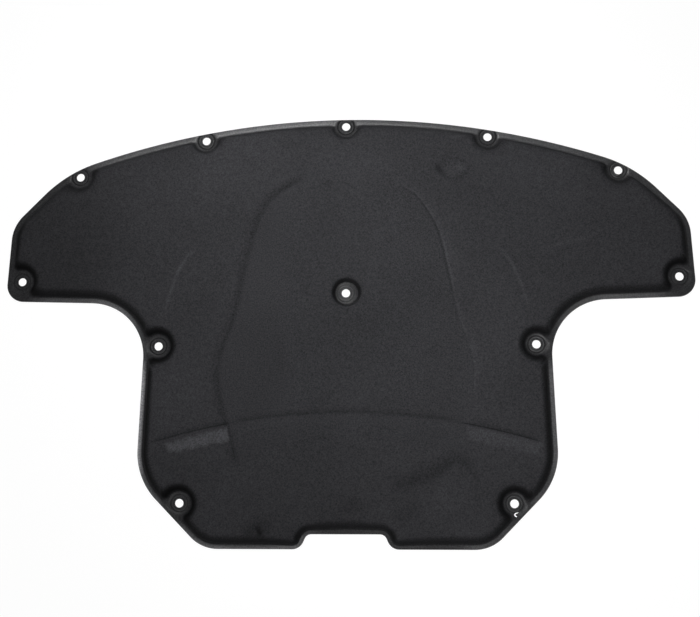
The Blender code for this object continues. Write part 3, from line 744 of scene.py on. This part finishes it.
# A torn crescent beside the right heel's hole, in millimetres about its place
TEAR = ((4.0, 4.0), (0.6, 3.7), (-2.5, 2.5), (-3.8, 0.6), (-3.4, -1.6), (-1.6, -3.4))
TEAR += ((0.6, -3.9), (1.5, -2.6), (-0.4, -1.8), (-1.5, -0.4), (-1.2, 0.9), (0.4, 1.8), (2.4, 2.6))
TEAR_PLACE = (0.2862, 0.0578)


class Shell:
    """Gathers grids and triangles of one surface, to be welded into one mesh."""

    def __init__(self):
        self.points, self.faces, self.shades, self.count = [], [], [], 0

    def add(self, points, faces, shade=1.0):
        self.shades.append(np.broadcast_to(shade, len(points)))
        self.points.append(np.asarray(points, dtype=float))
        self.faces += (np.asarray(faces) + self.count).tolist()
        self.count += len(points)

    def add_rings(self, rings, shades=1.0):
        """Quads between closed rings that have equal point counts, the last joined to the first."""
        levels, around = rings.shape[:2]
        index = np.arange(levels * around).reshape(levels, around)
        after = np.roll(index, -1, axis=1)
        faces = np.stack([index[:-1], after[:-1], after[1:], index[1:]], axis=-1)
        shade = np.broadcast_to(shades, (levels, around)).ravel()
        self.add(rings.reshape(-1, 3), faces.reshape(-1, 4), shade)

    def mesh(self, name):
        data = bpy.data.meshes.new(name)
        data.from_pydata(np.vstack(self.points).tolist(), [], self.faces)
        shade = data.attributes.new("wall_shade", "FLOAT", "POINT")
        shade.data.foreach_set("value", np.concatenate(self.shades))
        work = bmesh.new()
        work.from_mesh(data)
        bmesh.ops.remove_doubles(work, verts=work.verts[:], dist=0.00001)
        bmesh.ops.recalc_face_normals(work, faces=work.faces[:])
        work.to_mesh(data)
        work.free()
        return data


def lifted(points, height):
    """Plan points with a height each."""
    return np.column_stack([points, np.broadcast_to(height, len(points))])


def seat_floor(points, centres):
    """Height of the pressed felt: the flange's, less a step and two rings round each hole."""
    nearest = np.min([np.linalg.norm(points - centre, axis=1) for centre in centres], axis=0)
    floor = FLANGE - RING_DEPTH * smooth((RING_RADIUS + RING_RUN / 2.0 - nearest) / RING_RUN)
    for radius in GROOVES:
        floor -= GROOVE_DEPTH * smooth(1.0 - np.abs(nearest - radius) / GROOVE_HALF)
    return floor


def wall_shade(depths, loops, seats):
    """The painted shade on a wall, as a factor on its colour: one, less the tables' darkness at
    each share of its width times their share for its direction, which near a seat is at least the
    seat's own.
    """
    share = (depths - depths[0]) / (depths[-1] - depths[0])
    darkness = np.interp(share, *WALL_SHADES)
    down = loops[0, :, :2] - loops[-1, :, :2]
    facing = down[:, 1] / np.linalg.norm(down, axis=1)
    amount = np.interp(facing, *WALL_FACING)
    amount *= 1.0 - RIGHT_WALLS_PALER * smooth(loops[0, :, 0] / 0.3)
    gaps = np.array([np.linalg.norm(loops[0, :, :2] - seat, axis=1) for seat in seats])
    least = np.array(SEAT_SHADE_AND_GLOSS)[gaps.argmin(axis=0), 2]
    near = smooth((SEAT_WALL_REACH[0] - gaps.min(axis=0)) / SEAT_WALL_REACH[1])
    amount = np.maximum(amount, least * near)
    return 1.0 - darkness[:, None] * amount


def ring_painted_shade(points, centres):
    """The seats' rings of painted shade and highlight: the sum of a smooth ridge at each radius in
    the table.
    """
    gaps = np.array([np.linalg.norm(points - centre, axis=1) for centre in centres])
    nearest = gaps.min(axis=0)
    tone = np.zeros(len(points))
    for radius, half_width, amount in SEAT_RING_SHADES:
        tone += amount * smooth(1.0 - np.abs(nearest - radius) / half_width)
    return tone * np.array(SEAT_SHADE_AND_GLOSS)[gaps.argmin(axis=0), 0]


def gloss_and_painted_sheen(points, centres, outline):
    """Gloss and painted sheen of the crushed felt: each place's, weighed by one over distance to
    the fourth power. Both fade inwards from the rim, later along the curved edge, and each seat has
    a gloss of its own.
    """
    weight = np.zeros(len(points))
    total = np.zeros((2, len(points)))
    places = [NOTCH_GLOSS_AND_SHEEN]
    for across, up, *finish in EDGE_GLOSS_AND_SHEEN:
        places += [(across, up, *finish[:2]), (-across, up, *finish[2:])]
    for across, up, gloss, pale in places:
        near = 1.0 / (((points - (across, up)) ** 2).sum(axis=1) + 0.0001) ** 2
        weight += near
        total += np.array([[gloss], [pale]]) * near
    depth = away(points, np.vstack([outline, outline[:1]]))[0]
    x, y = points[:, 0], points[:, 1]
    plain, right, above, upper = FINISH_REACH
    reach = plain + right * smooth(x / 0.2) + above * smooth((y - 0.39) / 0.03)
    reach += upper * smooth((y - UPPER_LEVEL) / UPPER_FADE)
    fade = 1.0 - smooth((depth - reach) / FINISH_FADE)
    gaps = np.array([np.linalg.norm(points - centre, axis=1) for centre in centres])
    seat = smooth((SEAT_FINISH_RADIUS - gaps.min(axis=0)) / FINISH_FADE)
    gloss, pale = total / weight * fade * (1.0 - seat)
    return gloss + np.array(SEAT_SHADE_AND_GLOSS)[gaps.argmin(axis=0), 1] * seat, pale


def pad_mesh():
    """The pad's shell: rim, wall, face, floors, holes, tear and back, welded, with its tones."""
    outline, normals = plan_outline()
    holes = edge_holes()
    centres = [*holes, CENTRE_HOLE]
    shell = Shell()
    rim = np.array([lifted(outline + normals * depth, height) for depth, height in RIM_SECTION])
    shell.add_rings(rim)
    walls = wall_loops(outline, normals, holes)
    depths = wall_steps(TOE_RADIUS, CREST_RADIUS, WALL_ANGLE)[:, 0]
    # The walls carry a painted shade
    shell.add_rings(walls, wall_shade(depths, walls, holes))
    # Face and centre seat
    crest = walls[-1, :, :2]
    steps = wall_steps(CENTRE_TOE_RADIUS, CENTRE_CREST_RADIUS, CENTRE_WALL_ANGLE)
    seat_radii = CENTRE_SEAT_RADIUS + steps[:, 0] - FLANGE_WIDTH
    middle = CENTRE_HOLE + CENTRE_SEAT_SHIFT
    seat = np.array([lifted(ring(middle, r, 96), z) for r, z in zip(seat_radii, steps[:, 1])])
    # Painted shade on the centre seat's wall
    shade = 1.0 - CENTRE_SHADE * (1.0 - wall_shade(steps[:, 0], seat, holes))
    shell.add_rings(seat[::-1], shade[::-1])
    points, faces = fill(crest, [seat[-1, :, :2]], face_points(crest), FACE_CLEAR)
    gap = away(points, np.vstack([crest, crest[:1]]))[0]
    gap = np.minimum(gap, np.linalg.norm(points - middle, axis=1) - seat_radii[-1])
    # Painted shade on the face along the crest, ending towards the top
    top, top_fade = CREST_SHADE_TOP
    shade = CREST_SHADE * (1.0 - smooth(gap / CREST_SHADE_REACH))
    shade = 1.0 - shade * smooth((top - points[:, 1]) / top_fade)
    level = FIELD - face_relief(points) * smooth(gap / MARKS_FADE)
    shell.add(lifted(points, level), faces, shade)
    # Floors of the flange and the seats
    tear = np.array(TEAR) * 0.001 + TEAR_PLACE
    lips = [ring(centre, HOLE_RADIUS + HOLE_ROUND) for centre in centres]
    circles = [ring(hole, radius, 84) for hole in holes for radius in FLOOR_RINGS]
    toe = walls[0, :, :2]
    loose = np.vstack(circles)
    loose = loose[~inside(loose, toe)]
    points, faces = fill(rim[-1, :, :2], [toe, *lips[:-1], tear], loose, FLOOR_CLEAR)
    shell.add(lifted(points, seat_floor(points, centres)), faces)
    circles = [ring(CENTRE_HOLE, radius, 84) for radius in FLOOR_RINGS]
    loose = np.vstack(circles)
    points, faces = fill(seat[0, :, :2], [lips[-1]], loose, CENTRE_CLEAR)
    shell.add(lifted(points, seat_floor(points, centres)), faces)
    # Holes, the tear and the back
    floor = FLANGE - RING_DEPTH
    for centre in centres:
        section = (
            (HOLE_RADIUS + HOLE_ROUND, floor),
            (HOLE_RADIUS + 0.00015, floor - 0.00015),
            (HOLE_RADIUS, floor - 0.0005),
            (HOLE_RADIUS, 0.0),
        )
        shell.add_rings(np.array([lifted(ring(centre, r), z) for r, z in section]))
    tear_top = seat_floor(tear, centres)
    shell.add_rings(np.array([lifted(tear, tear_top), lifted(tear, 0.0)]))
    throats = [ring(centre, HOLE_RADIUS) for centre in centres]
    points, faces = fill(rim[0, :, :2], [*throats, tear], np.zeros((0, 2)), 0.0)
    shell.add(lifted(points, 0.0), faces)
    data = shell.mesh("moulded_felt_pad")
    points = np.empty(len(data.vertices) * 3)
    data.vertices.foreach_get("co", points)
    points = points.reshape(-1, 3)
    flat = points[:, :2]
    # A painted highlight along the rim, where the steel rule cut through
    cut = np.zeros(len(points))
    low = points[:, 2] < FLANGE - 0.00001
    closed = np.vstack([outline, outline[:1]])
    cut[low] = smooth(1.3 - away(flat[low], closed)[0] / CUT_REACH)
    data.attributes.new("painted_rim_highlight", "FLOAT", "POINT").data.foreach_set("value", cut)
    # Painted light and shade on the face, and painted shade and highlight on the seats' rings
    tone = np.zeros(len(points))
    high = points[:, 2] > FIELD - 0.004
    tone[high] = face_painted_light_and_tone(flat[high])
    low = (points[:, 2] > 0.001) & (points[:, 2] < FLANGE + 0.0022)
    tone[low] = ring_painted_shade(flat[low], centres)
    data.attributes.new("face_painted_light_and_tone", "FLOAT", "POINT").data.foreach_set("value", tone)
    # Gloss from the press, and a painted sheen on the flange
    finish = np.zeros((2, len(points)))
    finish[:, low] = gloss_and_painted_sheen(flat[low], centres, outline)
    data.attributes.new("pressed_gloss", "FLOAT", "POINT").data.foreach_set("value", finish[0])
    data.attributes.new("painted_flange_sheen", "FLOAT", "POINT").data.foreach_set("value", finish[1])
    return data


def new_node(material, kind, **values):
    """A new node in a material, with its properties or its unlinked inputs set."""
    node = material.node_tree.nodes.new(kind)
    for key, value in values.items():
        if hasattr(node, key):
            setattr(node, key, value)
        else:
            node.inputs[key.replace("_", " ")].default_value = value
    return node


FELT = (0.040, 0.040, 0.0435, 1.0)
CRUSHED_FELT = (0.034, 0.034, 0.0360, 1.0)
# Colour of the painted sheen on the flange
SHEEN_PAINTED_FELT = (0.42, 0.42, 0.435, 1.0)
# Colour of the painted highlight along the cut rim
CUT_RIM_HIGHLIGHT = (0.16, 0.16, 0.165, 1.0)
CRUSHED_HEIGHT = (0.0032, 0.0075)  # wholly crushed below the first, not at all above the second
# The felt's grain, mottle and clouds: scale, roughness, and how far each lightens and darkens it
NOISES = ((420.0, 0.8, 0.52), (120.0, 0.6, 0.07), (6.0, 0.5, 0.10))


def pad_material():
    """The felt's colour, by how crushed it is, with a painted sheen on the flange and a painted
    highlight on the cut rim, times grain, the face's painted light and shade, and the walls'
    painted shade.
    """
    material = bpy.data.materials.new("black_nonwoven_felt")
    material.use_nodes = True
    tree = material.node_tree
    shader = tree.nodes["Principled BSDF"]
    join = tree.links.new
    place = new_node(material, "ShaderNodeTexCoord")

    def attribute(name):
        return new_node(material, "ShaderNodeAttribute", attribute_name=name).outputs["Fac"]

    def noise(scale, roughness):
        node = new_node(
            material, "ShaderNodeTexNoise", Scale=scale, Detail=3.0, Roughness=roughness
        )
        join(place.outputs["Object"], node.inputs["Vector"])
        return node.outputs["Fac"]

    def ranged(value, low, high, first, last):
        node = new_node(
            material, "ShaderNodeMapRange", From_Min=low, From_Max=high, To_Min=first, To_Max=last
        )
        join(value, node.inputs["Value"])
        return node.outputs[0]

    def blended(factor, base, colour):
        node = new_node(material, "ShaderNodeMix", data_type="RGBA")
        node.inputs["B"].default_value = colour
        join(factor, node.inputs["Factor"])
        if isinstance(base, tuple):
            node.inputs["A"].default_value = base
        else:
            join(base, node.inputs["A"])
        return node.outputs["Result"]

    height = new_node(material, "ShaderNodeSeparateXYZ")
    join(place.outputs["Object"], height.inputs[0])
    crushed = ranged(height.outputs["Z"], *CRUSHED_HEIGHT, 1.0, 0.0)
    colour = blended(crushed, FELT, CRUSHED_FELT)
    # The flange's painted sheen
    colour = blended(attribute("painted_flange_sheen"), colour, SHEEN_PAINTED_FELT)
    # The painted highlight along the cut rim
    colour = blended(attribute("painted_rim_highlight"), colour, CUT_RIM_HIGHLIGHT)
    patterns = [noise(scale, roughness) for scale, roughness, _ in NOISES]
    factors = [
        ranged(pattern, 0.3, 0.7, 1.0 - spread, 1.0 + spread)
        for pattern, (_, _, spread) in zip(patterns, NOISES)
    ]
    # The face's painted light and shade with its patches, then the walls' painted shade
    painted_marks = new_node(material, "ShaderNodeMath", operation="ADD")
    painted_marks.inputs[1].default_value = 1.0
    join(attribute("face_painted_light_and_tone"), painted_marks.inputs[0])
    factors += [painted_marks.outputs[0], attribute("wall_shade")]
    product = factors[0]
    for factor in factors[1:]:
        times = new_node(material, "ShaderNodeMath", operation="MULTIPLY")
        join(product, times.inputs[0])
        join(factor, times.inputs[1])
        product = times.outputs[0]
    tinted = new_node(material, "ShaderNodeVectorMath", operation="SCALE")
    join(colour, tinted.inputs[0])
    join(product, tinted.inputs["Scale"])
    join(tinted.outputs[0], shader.inputs["Base Color"])
    shader.inputs["Roughness"].default_value = 0.85
    shader.inputs["Specular IOR Level"].default_value = 0.12
    shader.inputs["Coat Roughness"].default_value = 0.33
    join(attribute("pressed_gloss"), shader.inputs["Coat Weight"])
    relief = new_node(material, "ShaderNodeBump", Strength=0.55, Distance=0.0009)
    join(patterns[0], relief.inputs["Height"])
    join(relief.outputs[0], shader.inputs["Normal"])
    return material


pad = bpy.data.objects.new("felt_pad", pad_mesh())
bpy.context.scene.collection.objects.link(pad)
pad.data.transform(Matrix.Translation((0.0, -CROWN / 2.0, 0.0)))
pad.data.materials.append(pad_material())
pad.data.shade_smooth()
pad.data.set_sharp_from_angle(angle=math.radians(40.0))
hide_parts("insulation_pad")
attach(pad, "root")


# The studio: the pad lies flat on a sheet of white paper under four softboxes, and the camera
# looks almost straight down. The paper and the air show white without lighting the pad more.

FLOOR_REACH = 6.0
FLOOR_GAP = 0.0004


def floor_material():
    material = bpy.data.materials.new("white_sweep")
    material.use_nodes = True
    tree = material.node_tree
    tree.nodes.remove(tree.nodes["Principled BSDF"])
    join = tree.links.new
    paper = new_node(material, "ShaderNodeBsdfDiffuse", Color=(0.12, 0.12, 0.12, 1.0))
    glow = new_node(material, "ShaderNodeEmission", Color=(1.0, 1.0, 1.0, 1.0), Strength=0.94)
    rays = new_node(material, "ShaderNodeLightPath")
    seen = new_node(material, "ShaderNodeMath", operation="MAXIMUM")
    join(rays.outputs["Is Camera Ray"], seen.inputs[0])
    join(rays.outputs["Is Glossy Ray"], seen.inputs[1])
    both = new_node(material, "ShaderNodeAddShader")
    join(paper.outputs[0], both.inputs[0])
    join(glow.outputs[0], both.inputs[1])
    mixed = new_node(material, "ShaderNodeMixShader")
    join(seen.outputs[0], mixed.inputs["Fac"])
    join(paper.outputs[0], mixed.inputs[1])
    join(both.outputs[0], mixed.inputs[2])
    # The sweep is one-sided: from below, the pad's back shows through it
    side = new_node(material, "ShaderNodeNewGeometry")
    clear = new_node(material, "ShaderNodeBsdfTransparent")
    sided = new_node(material, "ShaderNodeMixShader")
    join(side.outputs["Backfacing"], sided.inputs["Fac"])
    join(mixed.outputs[0], sided.inputs[1])
    join(clear.outputs[0], sided.inputs[2])
    join(sided.outputs[0], tree.nodes["Material Output"].inputs["Surface"])
    return material


floor_data = bpy.data.meshes.new("sweep")
corners = np.array([(-1, -1), (1, -1), (1, 1), (-1, 1)]) * FLOOR_REACH
corners = lifted(corners, -FLOOR_GAP)
floor_data.from_pydata(corners.tolist(), [], [(0, 1, 2, 3)])
floor = bpy.data.objects.new("sweep", floor_data)
floor_data.materials.append(floor_material())
bpy.context.scene.collection.objects.link(floor)


def soft_lamp(name, place, aim, size, power, spread):
    lamp_data = bpy.data.lights.new(name, "AREA")
    lamp_data.shape = "RECTANGLE"
    lamp_data.size, lamp_data.size_y = size
    lamp_data.energy = power
    lamp_data.spread = math.radians(spread)
    lamp = bpy.data.objects.new(name, lamp_data)
    lamp.location = place
    lamp.rotation_euler = (Vector(aim) - Vector(place)).to_track_quat("-Z", "Y").to_euler()
    bpy.context.scene.collection.objects.link(lamp)


# Place, aim, size, power and spread
soft_lamp("overhead_softbox", (0.0, 0.34, 2.6), (-0.01, 0.38, 0.0), (0.5, 0.5), 0.58, 28.5)
soft_lamp("far_softbox", (-0.36, 1.20, 2.4), (-0.20, 0.26, 0.0), (1.1, 0.4), 2.15, 50.0)
soft_lamp("near_softbox", (0.10, -0.50, 2.6), (0.39, -0.17, 0.0), (0.6, 0.6), 1.12, 40.0)
soft_lamp("front_softbox", (-0.10, -1.10, 2.2), (-0.05, 0.10, 0.0), (1.2, 0.5), 3.0, 90.0)

AIR_STRENGTH = 0.06  # as light on the pad; the camera sees the air at full white

world = bpy.data.worlds.new("studio_air")
world.use_nodes = True
bpy.context.scene.world = world
air = world.node_tree
backdrop = air.nodes["Background"]
backdrop.inputs["Color"].default_value = (1.0, 1.0, 1.0, 1.0)
rays = air.nodes.new("ShaderNodeLightPath")
level = air.nodes.new("ShaderNodeMapRange")
level.inputs["To Min"].default_value = AIR_STRENGTH
level.inputs["To Max"].default_value = 1.0
air.links.new(rays.outputs["Is Camera Ray"], level.inputs["Value"])
air.links.new(level.outputs[0], backdrop.inputs["Strength"])

CAMERA_PLACE = (0.1092, -0.2701, 1.9231)
CAMERA_TURNS = (("Y", 3.04), ("X", 9.0), ("Z", 0.05))

camera_data = bpy.data.cameras.new("overhead_camera")
camera_data.sensor_width = 36.0
camera_data.lens = 57.75
camera = bpy.data.objects.new("overhead_camera", camera_data)
camera.matrix_world = Matrix.Translation(CAMERA_PLACE)
for axis, degrees in CAMERA_TURNS:
    camera.matrix_world = camera.matrix_world @ Matrix.Rotation(math.radians(degrees), 4, axis)
bpy.context.scene.collection.objects.link(camera)
bpy.context.scene.camera = camera
bpy.context.scene.view_settings.view_transform = "Standard"
